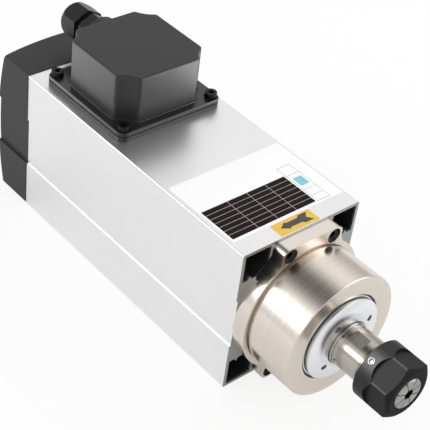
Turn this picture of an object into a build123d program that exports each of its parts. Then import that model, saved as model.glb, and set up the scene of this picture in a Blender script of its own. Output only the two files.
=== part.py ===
from build123d import *
from math import cos, hypot, pi, radians, sqrt, tan
import os

os.makedirs("parts", exist_ok=True)

# Lengths in millimetres.  Z is up, the spindle lies along X and its tool end is +X.
# The origin is the middle of the collet's front face.  Places along the spindle are
# depths from the housing's front face, and x_of() turns a depth into X.

# fits
press_gap = 0.02
thread_gap = 0.03
running_gap = 0.05
screw_gap = 0.25
cap_gap = 0.3
over = 1.0  # how far a cut runs past the face that it opens

# screws
m4_shank = 2.0
m4_head = 3.5
m4_head_height = 4.0
m5_shank = 2.5
m5_head = 4.25
m5_head_height = 5.0
m6_shank = 3.0

# housing extrusion
housing_length = 189.3
housing_width = 82.0
housing_corner = 0.8
bore_wall = 4.5  # least metal between the bore and a side
top_land = 10.0  # metal above and below the bore
wall_side = 1.9
wall_top = 1.7
side_recess_height = 32.0
side_recess_depth = 1.0
channel_wall = 2.8  # between the bore and an air channel
channel_height = 18.5  # from the top face down to a channel's ledge
fin_inset = 6.8
fin_height = 2.2
fin_half_width = 1.2

housing_rear = -housing_length
half_width = housing_width / 2
stator_bore = half_width - bore_wall
top_face = stator_bore + top_land
channel_core = stator_bore + channel_wall
channel_ledge = top_face - channel_height

# mounting holes in the underside
mount_spacing_x = 120.0
mount_spacing_y = 30.0
mount_depth = 10.0
mount_middle = -housing_length / 2

# front end shield
ring_length = 8.3
ring_inset = 0.25
nose_length = 38.2
nose_step = 3.0
nose_round = 0.9
groove_length = 1.0
groove_depth = 1.55
spigot_length = 12.0
spigot_wall = 5.5
ear_y = 15.4
ear_half_width = 21.3
ear_foot = 26.0
ear_corner = 4.5
ear_shoulder = 6.0
ear_waist = 1.0
ear_inset = 1.0
ear_screw_wall = 3.9
ear_screw_sink = 6.3
ear_screw_length = 12.0

ring_radius = half_width - ring_inset
nose_radius = ring_radius - nose_step
groove_radius = nose_radius - groove_depth
spigot_radius = stator_bore - press_gap
spigot_bore = spigot_radius - spigot_wall
ear_z = stator_bore + ear_screw_wall
ear_top = top_face - ear_inset
ear_seat = ring_length - ear_screw_sink
channel_start = ear_half_width + 0.7

# bearings
shaft_radius = 12.5
front_bearing_outer = 23.5
front_bearing_width = 12.0
front_ball_count = 10
front_ball = 3.175
bearing_lip = 3.0
rear_bearing_bore = 7.5
rear_bearing_outer = 16.0
rear_bearing_width = 9.0
rear_bearing_sink = 1.2  # how far the rear bearing reaches behind the housing
rear_ball_count = 8
rear_ball = 2.4
ring_shoulder = 0.72  # share of a ball's radius at which its rings end
groove_gap = 0.08
spring_thickness = 0.6
spring_lift = 0.6

cap_recess = 4.0  # from the nose's front face back to the bearings
front_bearing_end = nose_length - cap_recess
front_bearing_start = front_bearing_end - 2 * front_bearing_width
front_circle = (shaft_radius + front_bearing_outer) / 2
rear_circle = (rear_bearing_bore + rear_bearing_outer) / 2
rear_bearing_start = housing_rear - rear_bearing_sink
rear_bearing_end = rear_bearing_start + rear_bearing_width

# bearing cap and shaft collar
cap_land = 3.0
cap_rim = 1.5
cap_edge_rise = 1.9
cap_rise = 5.0
cap_flange = 2.4
cap_dome_width = 8.5
cap_hole_radius = 1.75
cap_hole_inset = 7.6
cap_hole_depth = 4.0
cap_hole_angle = 34.7
collar_wall = 0.6
collar_foot = 2.1
collar_rise = 1.4

cap_bore_radius = front_bearing_outer + cap_land
cap_radius = cap_bore_radius - cap_rim
cap_rear = front_bearing_end + 0.05
cap_seat = cap_rear + 0.35
cap_edge = nose_length + cap_edge_rise
cap_face = nose_length + cap_rise
collar_radius = shaft_radius + collar_wall
collar_front = cap_face + collar_rise
cap_inner = collar_radius + cap_gap

# shaft
shaft_reach = 40.8  # in front of the nose
shaft_shoulder_step = 3.5
shoulder_length = 6.0
rotor_seat = 14.0
flat_cut = 0.5
flat_gap = 3.4
flat_length = 9.5
flat_angle = 105.0
relief_length = 1.4
relief_depth = 0.5
fan_seat = 6.0

shaft_front = nose_length + shaft_reach
flat_start = collar_front + flat_gap

# collet
collet_stand = 8.0  # the collet's face in front of the shaft
collet_length = 31.5
collet_max = 10.5
collet_face_radius = 8.6
collet_bore = 3.0
collet_taper = 8.0
collet_front_cone = 30.0
collet_taper_end = 0.5
collet_groove = 9.3
collet_rim = 2.6
collet_groove_width = 1.8
slit_width = 0.5
collet_slits = 8
front_slit_margin = 4.0
rear_slit_margin = 8.0
first_slit = 21.0  # degrees from upright

collet_face = shaft_front + collet_stand
collet_rear = collet_face - collet_length
cone_start = collet_face - (collet_max - collet_face_radius) / tan(radians(collet_front_cone))
groove_start = shaft_front + collet_rim
groove_end = groove_start + collet_groove_width
housing_front = -collet_face

# collet nut
nut_radius = 17.15
nut_thread_length = 14.8
nut_flats = 30.0
nut_hex_angle = 38.5
nut_flat_gap = 7.2
nut_flat_rise = 3.3
nut_front_gap = 0.5
nut_chamfer_face = 12.6
nut_chamfer_length = 2.3
dimple_gap = 3.5
dimple_radius = 1.6
dimple_lift = 0.7

nut_back = shaft_front - nut_thread_length
nut_front = collet_face - nut_front_gap
nut_flat_start = nut_back + nut_flat_gap
nut_flat_corner = nut_flat_start + nut_flat_rise

# rotor and stator
rotor_share = 0.537  # of the housing's bore
air_gap = 0.5
end_ring_length = 4.0
shaft_land = 6.0
stator_slots = 24
slot_width = 2.6
slot_opening = 1.0
tooth_tip = 1.3
yoke_share = 0.178
slot_liner = 0.1
winding_overhang = 14.0
winding_front_gap = 9.0
winding_rim = 3.5
core_rear_room = 64.3

core_front = -(spigot_length + winding_front_gap + winding_overhang)
core_rear = housing_rear + core_rear_room
rotor_radius = stator_bore * rotor_share
yoke = stator_bore * yoke_share
slot_mouth = rotor_radius + air_gap + tooth_tip
slot_bottom = stator_bore - yoke
winding_outer = stator_bore - winding_rim
winding_inner = slot_mouth + 0.4

# rear end shield
rear_ear_inset = 2.3
rear_ear_foot = 22.5
rear_screw_wall = 3.3
rear_screw_sink = 3.5
rear_screw_length = 14.0
rear_plate_rim = 0.4
rear_plate_length = 6.0
rear_spigot_length = 6.0
rear_hub_wall = 3.5
rear_hub_length = 8.0
shaft_clearance = 0.7

rear_ear_top = top_face - rear_ear_inset
rear_ear_z = stator_bore + rear_screw_wall
rear_plate_radius = stator_bore + rear_plate_rim
rear_plate_back = housing_rear - rear_plate_length
rear_seat = housing_rear - rear_screw_sink

# cooling fan and rear cover
cover_grow = 0.3
cover_length = 34.9
cover_wall = 2.2
cover_sphere = 195.0
cover_corner = 2.0
cover_recess_depth = 1.6
cover_column = 5.0
cover_screw_inset = 6.0
cover_screw_head_depth = 9.2
cover_screw_grip = 9.3
grille_radius = 27.0
grille_pitch = 6.0
grille_slot = 3.2
fan_gap = 4.7
fan_depth = 11.9
fan_disc = 1.5
fan_hub = 10.0
fan_blade = 1.5
fan_blades = 9
fan_tip_gap = 4.3
washer_radius = 8.0
washer_thickness = 1.0
fan_screw_head_height = 3.5

cover_apex = housing_rear - cover_length
cover_seat = cover_apex + cover_screw_head_depth
cover_screw_y = half_width - cover_screw_inset
cover_screw_z = channel_ledge - cover_screw_inset
cover_screw_length = housing_rear - cover_seat + cover_screw_grip
cover_column_front = cover_screw_inset + cover_grow - cover_wall + 0.2  # it runs into the side wall
fan_front = rear_plate_back - fan_gap
fan_rear = fan_front - fan_depth
fan_radius = hypot(cover_screw_y, cover_screw_z) - cover_column - fan_tip_gap
shaft_rear = fan_rear + 0.2

# junction box
box_size = 72.0
box_from_rear = 45.7
box_corner = 5.0
box_rim = 6.0
base_thickness = 2.7
gasket_thickness = 0.6
lid_flange = 2.3
dome_height = 27.8
dome_wall = 2.2
dome_top_wall = 2.4
dome_notch = 9.2
notch_sag = 1.2
notch_round = 2.4
foot_step = 1.2
lid_screw_inset = 4.8
lid_screw_floor = 1.3
lid_screw_length = 8.0
base_screw_inset = 12.4
base_screw_depth = 6.5
base_screw_head_height = 2.4
earth_end_inset = 16.0
earth_side_inset = 11.0
lead_pitch = 9.0
lead_radius = 1.1
lead_offset = 6.4
lead_bend = 4.0
lead_height = 9.0
lead_slot_room = 6.0
terminal_offset = 1.6
terminal_depth = 16.0
terminal_height = 15.0
terminal_step = 3.0
terminal_screw = 2.3

box_middle = housing_rear + box_from_rear
dome_size = box_size - 2 * box_rim
dome_rear = box_middle - dome_size / 2
base_top = top_face + base_thickness
lid_bottom = base_top + gasket_thickness
lid_step = lid_bottom + lid_flange
dome_top = lid_step + dome_height
lid_screw_offset = box_size / 2 - lid_screw_inset
lid_screw_seat = lid_bottom + lid_screw_floor
base_screw_offset = box_size / 2 - base_screw_inset
earth_x = box_middle + earth_end_inset - dome_size / 2
earth_y = earth_side_inset - dome_size / 2
lead_x = box_middle - lead_offset
terminal_rear = box_middle + terminal_offset
terminal_middle = terminal_rear + terminal_depth / 2

# cable gland
gland_height = 20.1  # its axis above the top face
gland_thread = 8.0
gland_flats = 19.4
gland_boss = 12.5
gland_boss_length = 4.4
gland_hex_length = 7.8
gland_nut_gap = 4.2
gland_nut_length = 15.5
gland_nut_rim = 11.3
gland_nut_mouth = 6.0
gland_straight = 8.0
gland_dome_end = 14.8
gland_tip_length = 13.2
gland_body_wall = 2.8
locknut_flats = 20.0
locknut_thickness = 4.0
seal_outer = 6.5
seal_bore = 4.0
seal_nose = 1.1
seal_nose_length = 1.6

gland_z = top_face + gland_height
boss_end = dome_rear - gland_boss_length
gland_hex_end = boss_end - gland_hex_length
gland_tip = gland_hex_end - gland_tip_length
gland_nut_start = gland_hex_end - gland_nut_gap
gland_nut_end = gland_nut_start - gland_nut_length
gland_inner_end = dome_rear + dome_wall + locknut_thickness + gland_body_wall


def x_of(depth):
    return housing_front + depth


# a solid turned about the spindle's axis, or one at height z, from (depth, radius) corners
def turned(points, z=0):
    outline = Polyline(*[(x_of(depth), radius) for depth, radius in points], close=True)
    return Pos(0, 0, z) * revolve(make_face(outline), Axis.X)


def rod(start, end, radius, y=0, z=0):
    face = Plane.YZ.offset(x_of(start)) * Pos(y, z) * Circle(radius)
    return extrude(face, amount=end - start)


def tube(start, end, outer, inner, z=0):
    return rod(start, end, outer, 0, z) - rod(start - over, end + over, inner, 0, z)


def block(x0, x1, y0, y1, z0, z1):
    middle = Pos(x_of((x0 + x1) / 2), (y0 + y1) / 2, (z0 + z1) / 2)
    return middle * Box(abs(x1 - x0), abs(y1 - y0), abs(z1 - z0))


def hexagon(start, end, flats, angle=0, y=0, z=0):
    radius = flats / 2 / cos(pi / 6)
    face = Plane.YZ.offset(x_of(start)) * Pos(y, z) * Rot(0, 0, angle) * RegularPolygon(radius, 6)
    return extrude(face, amount=end - start)


def around(shape, count, start=0):
    turn = 360 / count
    return [Rot(start + turn * i, 0, 0) * shape for i in range(count)]


def upright(radius, x, y, z0, z1):
    return Pos(x_of(x), y, (z0 + z1) / 2) * Cylinder(radius, z1 - z0)


def four_corners(dx, dy):
    return [(dx * sx, dy * sy) for sx in (-1, 1) for sy in (-1, 1)]


# a socket head screw along X, whose head stands on its seat towards direction
def cap_screw(seat, length, shank, head, height, direction, y, z):
    tip = seat - direction * length
    top = seat + direction * height
    key_floor = top - direction * height * 0.55
    body = rod(min(tip, seat), max(tip, seat), shank, y, z)
    body += rod(min(seat, top), max(seat, top), head, y, z)
    return body - hexagon(key_floor, top, head * sqrt(3) / 2, 0, y, z)


def channel_section():
    side = half_width - wall_side
    fin_y = half_width - fin_inset
    outline = Polyline(
        (channel_start, channel_ledge),
        (fin_y - fin_half_width, channel_ledge),
        (fin_y, channel_ledge + fin_height),
        (fin_y + fin_half_width, channel_ledge),
        (side, channel_ledge),
        (side, top_face - wall_top),
        (channel_start, top_face - wall_top),
        close=True,
    )
    return make_face(outline) - Circle(channel_core)


def housing():
    section = RectangleRounded(housing_width, 2 * top_face, housing_corner)
    for side in (-1, 1):
        section -= Pos(side * half_width, 0) * Rectangle(2 * side_recess_depth, side_recess_height)
    section -= Circle(stator_bore)
    upper = channel_section()
    upper += mirror(upper, Plane.YZ)
    section -= upper
    section -= mirror(upper, Plane.XZ)
    body = extrude(Plane.YZ.offset(x_of(housing_rear)) * section, amount=housing_length)
    for y, z in four_corners(ear_y, ear_z):
        body -= rod(ear_seat - ear_screw_length - 2 * over, over, m5_shank + thread_gap, y, z)
    rear_hole_end = rear_seat + rear_screw_length + 2 * over
    for y, z in four_corners(ear_y, rear_ear_z):
        body -= rod(housing_rear - over, rear_hole_end, m5_shank + thread_gap, y, z)
    cover_hole_end = housing_rear + cover_screw_grip + 2 * over
    for y, z in four_corners(cover_screw_y, cover_screw_z):
        body -= rod(housing_rear - over, cover_hole_end, m4_shank + thread_gap, y, z)
    for x, y in four_corners(mount_spacing_x / 2, mount_spacing_y / 2):
        body -= upright(m6_shank, mount_middle + x, y, -top_face - over, -top_face + mount_depth)
    body -= lid_screw_holes(m4_shank + thread_gap, top_face - wall_top - over, top_face + over)
    for x in base_screw_places():
        bottom = top_face - base_screw_depth - over
        body -= upright(m4_shank + thread_gap, x, 0, bottom, top_face + over)
    return body - lead_slot(slot_bottom, top_face + over)


def base_screw_places():
    return [box_middle - base_screw_offset, box_middle + base_screw_offset]


def lead_slot(z0, z1):
    slot = SlotOverall(lead_pitch * 2 + lead_slot_room, lead_slot_room)
    return extrude(Plane.XY.offset(z0) * Pos(x_of(lead_x), 0) * Rot(0, 0, 90) * slot, amount=z1 - z0)


# the lug above a round flange: a rounded top, then a waist that runs into the flange
def ear_section(radius, top, foot):
    foot_z = sqrt(radius ** 2 - foot ** 2)
    shoulder = top - ear_shoulder
    waist = (ear_half_width + ear_waist, (foot_z + shoulder) / 2)
    inner = ear_half_width - ear_corner
    outline = [
        Line((-foot, foot_z), (foot, foot_z)),
        ThreePointArc((foot, foot_z), waist, (ear_half_width, shoulder)),
        Line((ear_half_width, shoulder), (ear_half_width, top - ear_corner)),
        RadiusArc((ear_half_width, top - ear_corner), (inner, top), -ear_corner),
        Line((inner, top), (-inner, top)),
        RadiusArc((-inner, top), (-ear_half_width, top - ear_corner), -ear_corner),
        Line((-ear_half_width, top - ear_corner), (-ear_half_width, shoulder)),
        ThreePointArc((-ear_half_width, shoulder), (-waist[0], waist[1]), (-foot, foot_z)),
    ]
    return make_face(outline)


def ears(start, length, radius, top, foot):
    face = ear_section(radius, top, foot)
    both = face + mirror(face, Plane.XZ)
    return extrude(Plane.YZ.offset(x_of(start)) * both, amount=length)


def front_end_shield():
    edge = 0.4
    lip = front_bearing_outer - bearing_lip
    web = front_bearing_start - 4.0
    groove_end_x = ring_length + groove_length
    body = turned([
        (-spigot_length, spigot_bore),
        (-spigot_length, spigot_radius - edge),
        (-spigot_length + edge, spigot_radius),
        (0, spigot_radius),
        (0, ring_radius),
        (ring_length - edge, ring_radius),
        (ring_length, ring_radius - edge),
        (ring_length, groove_radius),
        (groove_end_x, groove_radius),
        (groove_end_x, nose_radius - edge),
        (groove_end_x + edge, nose_radius),
        (nose_length, nose_radius),
        (nose_length, cap_bore_radius + edge),
        (nose_length - edge, cap_bore_radius),
        (cap_seat - 0.1, cap_bore_radius),
        (cap_seat - 0.1, front_bearing_outer + press_gap),
        (front_bearing_start, front_bearing_outer + press_gap),
        (front_bearing_start, lip),
        (web, lip),
        (web, spigot_bore),
    ])
    rim = body.edges().filter_by(GeomType.CIRCLE).sort_by(Axis.X)[-2:].sort_by(SortBy.RADIUS)[-1]
    body = fillet(rim, nose_round)
    body += ears(0, ring_length, ring_radius, ear_top, ear_foot)
    for y, z in four_corners(ear_y, ear_z):
        body -= rod(-over, ring_length + over, m5_shank + screw_gap, y, z)
        body -= rod(ear_seat, ring_length + 3 * over, m5_head + 0.15, y, z)
    return body


def shield_screws():
    return [cap_screw(ear_seat, ear_screw_length, m5_shank, m5_head, m5_head_height, 1, y, z)
            for y, z in four_corners(ear_y, ear_z)]


def rear_end_shield():
    bore = rear_bearing_outer + press_gap
    hub = rear_bearing_outer + rear_hub_wall
    shaft_hole = rear_bearing_bore + shaft_clearance
    seat_end = spring_rear() - running_gap
    body = turned([
        (housing_rear + rear_hub_length, hub),
        (housing_rear + rear_hub_length, bore),
        (seat_end, bore),
        (seat_end, shaft_hole),
        (rear_plate_back, shaft_hole),
        (rear_plate_back, rear_plate_radius),
        (housing_rear, rear_plate_radius),
        (housing_rear, spigot_radius),
        (housing_rear + rear_spigot_length, spigot_radius),
        (housing_rear + rear_spigot_length, spigot_bore),
        (housing_rear + 1.5, spigot_bore - 1.5),
        (housing_rear + 1.5, hub + 1.5),
    ])
    body += ears(rear_plate_back, rear_plate_length, rear_plate_radius, rear_ear_top, rear_ear_foot)
    for y, z in four_corners(ear_y, rear_ear_z):
        body -= rod(rear_plate_back - over, housing_rear + over, m5_shank + screw_gap, y, z)
        body -= rod(rear_plate_back - 3 * over, rear_seat, m5_head + 0.45, y, z)
    return body


def rear_shield_screws():
    return [cap_screw(rear_seat, rear_screw_length, m5_shank, m5_head, m5_head_height, -1, y, z)
            for y, z in four_corners(ear_y, rear_ear_z)]


def bearing_cap():
    dome_inner = cap_radius - cap_dome_width
    dome_middle = (x_of(cap_face - 0.9), (cap_radius + dome_inner) / 2)
    ring_edge = front_bearing_outer - 0.1
    outline = [
        Polyline(
            (x_of(cap_face), cap_inner),
            (x_of(cap_rear + 1.2), cap_inner),
            (x_of(cap_rear + 1.2), front_bearing_outer - bearing_lip),
            (x_of(cap_rear), front_bearing_outer - bearing_lip),
            (x_of(cap_rear), ring_edge),
            (x_of(cap_seat), ring_edge),
            (x_of(cap_seat), cap_bore_radius - running_gap),
            (x_of(cap_seat + cap_flange), cap_bore_radius - running_gap),
            (x_of(cap_seat + cap_flange), cap_radius),
            (x_of(cap_edge), cap_radius),
        ),
        ThreePointArc((x_of(cap_edge), cap_radius), dome_middle, (x_of(cap_face), dome_inner)),
        Line((x_of(cap_face), dome_inner), (x_of(cap_face), cap_inner)),
    ]
    body = revolve(make_face(outline), Axis.X)
    hole = rod(cap_face - cap_hole_depth, cap_face + over, cap_hole_radius, cap_radius - cap_hole_inset)
    for cut in around(hole, 4, cap_hole_angle):
        body -= cut
    return body


def shaft_collar():
    inner = shaft_radius + press_gap
    edge = 0.2
    groove_rear = collar_front - 1.2
    groove_front = collar_front - 0.8
    groove_floor = collar_radius - 0.3
    return turned([
        (cap_rear, inner),
        (cap_rear, shaft_radius + collar_foot),
        (cap_rear + 0.8, shaft_radius + collar_foot),
        (cap_rear + 0.8, collar_radius),
        (groove_rear, collar_radius),
        (groove_rear, groove_floor),
        (groove_front, groove_floor),
        (groove_front, collar_radius),
        (collar_front - edge, collar_radius),
        (collar_front, collar_radius - edge),
        (collar_front, inner),
    ])


# the collet's slow taper, and with a gap the socket that it sits in
def taper_radius(depth, gap=0.0):
    return collet_max + gap - (shaft_front - collet_taper_end - depth) * tan(radians(collet_taper))


def cone_radius(depth):
    return collet_face_radius + (collet_face - depth) * tan(radians(collet_front_cone))


def shaft():
    socket_end = collet_rear - 1.5
    socket_radius = taper_radius(socket_end, thread_gap)
    bore = socket_radius - 0.5
    shoulder = shaft_radius + shaft_shoulder_step
    neck = rear_bearing_bore + 2.5
    relief_end = nut_back - 1.5
    edge = 0.8
    body = turned([
        (shaft_rear, 0),
        (shaft_rear, fan_seat - edge / 2),
        (shaft_rear + edge / 2, fan_seat),
        (fan_front, fan_seat),
        (fan_front, rear_bearing_bore),
        (rear_bearing_end, rear_bearing_bore),
        (rear_bearing_end, neck),
        (core_rear - shaft_land, neck),
        (core_rear - shaft_land, rotor_seat),
        (core_front + shaft_land, rotor_seat),
        (core_front + shaft_land, rotor_seat + 1.0),
        (front_bearing_start - shoulder_length, rotor_seat + 1.0),
        (front_bearing_start - shoulder_length, shoulder),
        (front_bearing_start, shoulder),
        (front_bearing_start, shaft_radius),
        (relief_end - relief_length, shaft_radius),
        (relief_end - relief_length, shaft_radius - relief_depth),
        (relief_end, shaft_radius - relief_depth),
        (relief_end, shaft_radius),
        (shaft_front - edge, shaft_radius),
        (shaft_front, shaft_radius - edge),
        (shaft_front, taper_radius(shaft_front, thread_gap)),
        (socket_end, socket_radius),
        (socket_end, bore),
        (socket_end - 9.0, bore),
        (socket_end - 12.0, 0),
    ])
    body -= rod(shaft_rear - over, fan_screw_tip() + 2 * over, m5_shank + thread_gap)
    far = shaft_radius + over
    pocket = block(flat_start, flat_start + flat_length, -far, far, shaft_radius - flat_cut, far)
    for cut in around(pocket, 2, flat_angle - 90):
        body -= cut
    return body


def rotor_core():
    return tube(core_rear, core_front, rotor_radius, rotor_seat + press_gap)


def rotor_end_rings():
    outer = rotor_radius - 0.4
    return [tube(start, start + end_ring_length, outer, rotor_seat + press_gap)
            for start in (core_front, core_rear - end_ring_length)]


def slot_bar(width, inner, outer):
    return block(core_rear - over, core_front + over, -width / 2, width / 2, inner, outer)


def stator_core():
    body = tube(core_rear, core_front, stator_bore - running_gap, rotor_radius + air_gap)
    for cut in around(slot_bar(slot_width, slot_mouth, slot_bottom), stator_slots):
        body -= cut
    for cut in around(slot_bar(slot_opening, rotor_radius, slot_mouth + over), stator_slots):
        body -= cut
    return body


def end_winding(near, far):
    lean = 2.0 if far > near else -2.0
    return turned([
        (near, winding_inner),
        (near, slot_bottom),
        (near + lean, winding_outer),
        (far - lean, winding_outer),
        (far, winding_outer - 3.0),
        (far, slot_mouth + 3.0),
        (far - lean, winding_inner),
    ])


def stator_windings():
    body = end_winding(core_front + slot_liner, core_front + winding_overhang)
    body += end_winding(core_rear - slot_liner, core_rear - winding_overhang)
    bar = slot_bar(slot_width - 2 * slot_liner, winding_inner, slot_bottom - slot_liner)
    for piece in around(bar, stator_slots):
        body += piece
    return body


# three leads from the rear winding, up through the slot and into the terminal block
def motor_leads():
    low = slot_bottom - 3.0
    high = base_top + lead_height
    start = x_of(core_rear - winding_overhang - press_gap)
    turn = x_of(lead_x + lead_bend)
    rise = x_of(lead_x)
    end = x_of(terminal_rear + 1.0)
    parts = []
    for y in (-lead_pitch, 0, lead_pitch):
        path = Wire([
            Line((start, y, low), (turn, y, low)),
            bend(turn, low, rise, low + lead_bend, y),
            Line((rise, y, low + lead_bend), (rise, y, high - lead_bend)),
            bend(rise, high - lead_bend, turn, high, y),
            Line((turn, y, high), (end, y, high)),
        ])
        profile = Plane(origin=path @ 0, z_dir=path % 0) * Circle(lead_radius)
        parts.append(sweep(profile, path))
    return parts


# a quarter circle in the XZ plane, level at its low or its high end
def bend(x0, z0, x1, z1, y):
    turn = sqrt(0.5)
    if x1 < x0:
        middle = (x0 - (x0 - x1) * turn, y, z1 - (z1 - z0) * turn)
    else:
        middle = (x1 - (x1 - x0) * turn, y, z0 + (z1 - z0) * turn)
    return ThreePointArc((x0, y, z0), middle, (x1, y, z1))


def bearing_ring(start, width, outer, inner, ball_circle, ball):
    body = tube(start, start + width, outer, inner)
    groove = Pos(x_of(start + width / 2), 0, 0) * Rot(0, 90, 0) * Torus(ball_circle, ball + groove_gap)
    return body - groove


def front_ring_pair(outer, inner):
    width = front_bearing_width - press_gap
    starts = [front_bearing_start + press_gap + front_bearing_width * i for i in range(2)]
    return [bearing_ring(start, width, outer, inner, front_circle, front_ball) for start in starts]


def rear_ring(outer, inner):
    width = rear_bearing_width - press_gap
    return bearing_ring(rear_bearing_start, width, outer, inner, rear_circle, rear_ball)


def ball_set(middle, circle, ball, count):
    return around(Pos(x_of(middle), circle, 0) * Sphere(ball), count)


def front_balls():
    parts = []
    for i in range(2):
        middle = front_bearing_start + press_gap / 2 + front_bearing_width * (i + 0.5)
        parts += ball_set(middle, front_circle, front_ball, front_ball_count)
    return parts


def rear_balls():
    middle = rear_bearing_start + (rear_bearing_width - press_gap) / 2
    return ball_set(middle, rear_circle, rear_ball, rear_ball_count)


def spring_rear():
    return rear_bearing_start - spring_thickness - spring_lift - running_gap


def preload_spring():
    rear = spring_rear()
    inner = rear_bearing_outer - 5.5
    outer = rear_bearing_outer - 0.6
    return turned([
        (rear, inner),
        (rear + spring_thickness, inner),
        (rear + spring_thickness + spring_lift, outer),
        (rear + spring_lift, outer),
    ])


def collet():
    edge = 0.4
    taper_front = shaft_front - collet_taper_end
    body = turned([
        (collet_rear, collet_bore),
        (collet_rear, taper_radius(collet_rear) - edge),
        (collet_rear + edge, taper_radius(collet_rear + edge)),
        (taper_front, collet_max),
        (groove_start, collet_max),
        (groove_start, collet_groove),
        (groove_end, collet_groove),
        (groove_end, collet_max),
        (cone_start, collet_max),
        (collet_face, collet_face_radius),
        (collet_face, collet_bore),
    ])
    half = slit_width / 2
    deep = collet_max + over
    front_slit = block(collet_rear + front_slit_margin, collet_face + over, -half, half, 0, deep)
    rear_slit = block(collet_rear - over, collet_face - rear_slit_margin, -half, half, 0, deep)
    for cut in around(front_slit, collet_slits, first_slit):
        body -= cut
    for cut in around(rear_slit, collet_slits, first_slit + 180 / collet_slits):
        body -= cut
    return body


# one wrench flat of the nut, whose rear end runs out in an arc as a milled flat does
def flat_cutter():
    half = sqrt(nut_radius ** 2 - (nut_flats / 2) ** 2) + press_gap
    reach = half + 4.0
    front = nut_front + over
    outline = [
        ThreePointArc((nut_flat_corner, -half), (nut_flat_start, 0), (nut_flat_corner, half)),
        Polyline(
            (nut_flat_corner, half),
            (nut_flat_corner, reach),
            (front, reach),
            (front, -reach),
            (nut_flat_corner, -reach),
            (nut_flat_corner, -half),
        ),
    ]
    face = Pos(housing_front, 0, nut_flats / 2) * make_face(outline)
    return extrude(face, amount=nut_radius)


def collet_nut():
    thread = shaft_radius + running_gap
    lip_rear = groove_start + running_gap
    lip_front = groove_end - running_gap
    inner_edge = nut_front - 0.4
    body = turned([
        (nut_back, thread + 0.4),
        (nut_back, nut_radius - 0.5),
        (nut_back + 0.5, nut_radius),
        (nut_front - nut_chamfer_length, nut_radius),
        (nut_front, nut_chamfer_face + 0.6),
        (nut_front, nut_chamfer_face),
        (inner_edge, cone_radius(inner_edge) + running_gap),
        (cone_start - running_gap, collet_max + running_gap),
        (lip_front, collet_max + running_gap),
        (lip_front, collet_groove + running_gap),
        (lip_rear, collet_groove + running_gap),
        (lip_rear, thread - 0.9),
        (lip_rear - 0.9, thread),
        (nut_back + 0.4, thread),
    ])
    for cut in around(flat_cutter(), 6, nut_hex_angle + 30 - 90):
        body -= cut
    dimple = Pos(x_of(nut_back + dimple_gap), 0, nut_radius + dimple_lift) * Sphere(dimple_radius)
    return body - Rot(nut_hex_angle, 0, 0) * dimple


def plate(size, corner, z0, z1):
    section = Pos(x_of(box_middle), 0) * RectangleRounded(size, size, corner)
    return extrude(Plane.XY.offset(z0) * section, amount=z1 - z0)


# the lid's raised part seen from above: a square whose corners are hollowed for the screws
def dome_section(grow=0.0):
    half = dome_size / 2
    near = half - dome_notch
    middle = (half + near) / 2 - notch_sag * sqrt(0.5)
    notch = ThreePointArc((half, near), (middle, middle), (near, half))
    edges = []
    for i in range(4):
        edges.append(Rot(0, 0, 90 * i) * notch)
        edges.append(Rot(0, 0, 90 * i) * Line((near, half), (-near, half)))
    face = fillet(make_face(edges).vertices(), notch_round)
    if grow:
        face = offset(face, grow)
    return Pos(x_of(box_middle), 0) * face


def dome(z0, z1, grow=0.0):
    return extrude(Plane.XY.offset(z0) * dome_section(grow), amount=z1 - z0)


def lid_screw_holes(radius, z0, z1):
    return [upright(radius, box_middle + x, y, z0, z1)
            for x, y in four_corners(lid_screw_offset, lid_screw_offset)]


def junction_box_base():
    lip_outer = -dome_wall - cap_gap
    body = plate(box_size, box_corner, top_face, base_top)
    body += dome(base_top - 0.1, base_top + 3.5, lip_outer) - dome(base_top - over, base_top + 4.0, lip_outer - 1.5)
    body -= lid_screw_holes(m4_shank + thread_gap, top_face - over, base_top + over)
    for x in base_screw_places():
        body -= upright(m4_shank + screw_gap, x, 0, top_face - over, base_top + 4 * over)
        body -= upright(m4_head + 0.2, x, 0, base_top, base_top + 4 * over)
    body -= upright(m4_shank + thread_gap, earth_x, earth_y, top_face + 0.6, base_top + over)
    return body - lead_slot(top_face - over, base_top + over)


def cross_slot(x, y, z0, z1, reach, width):
    slot = block(x - reach, x + reach, y - width / 2, y + width / 2, z0, z1)
    return slot + block(x - width / 2, x + width / 2, y - reach, y + reach, z0, z1)


def base_screws():
    parts = []
    head = m4_head - 0.2
    for x in base_screw_places():
        screw = upright(m4_shank, x, 0, top_face - base_screw_depth, base_top)
        screw += upright(head, x, 0, base_top, base_top + base_screw_head_height)
        key = base_top + base_screw_head_height - 1.0
        parts.append(screw - cross_slot(x, 0, key, key + 2 * over, head - 0.3, 1.0))
    return parts


def earth_screw():
    washer_top = base_top + 0.8
    head_top = washer_top + base_screw_head_height
    screw = upright(m4_shank, earth_x, earth_y, top_face + 0.7, washer_top)
    screw += upright(m4_shank + 2.2, earth_x, earth_y, base_top, washer_top)
    screw += upright(m4_head, earth_x, earth_y, washer_top, head_top)
    return screw - cross_slot(earth_x, earth_y, head_top - 1.0, head_top + over, m4_head - 0.5, 1.0)


def lid_gasket():
    margin = 0.6
    body = plate(box_size - 2 * margin, box_corner - margin, base_top, lid_bottom)
    body -= dome(base_top - over, lid_bottom + over, 0.4 - dome_wall)
    return body - lid_screw_holes(m4_shank + cap_gap, base_top - over, lid_bottom + over)


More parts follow.
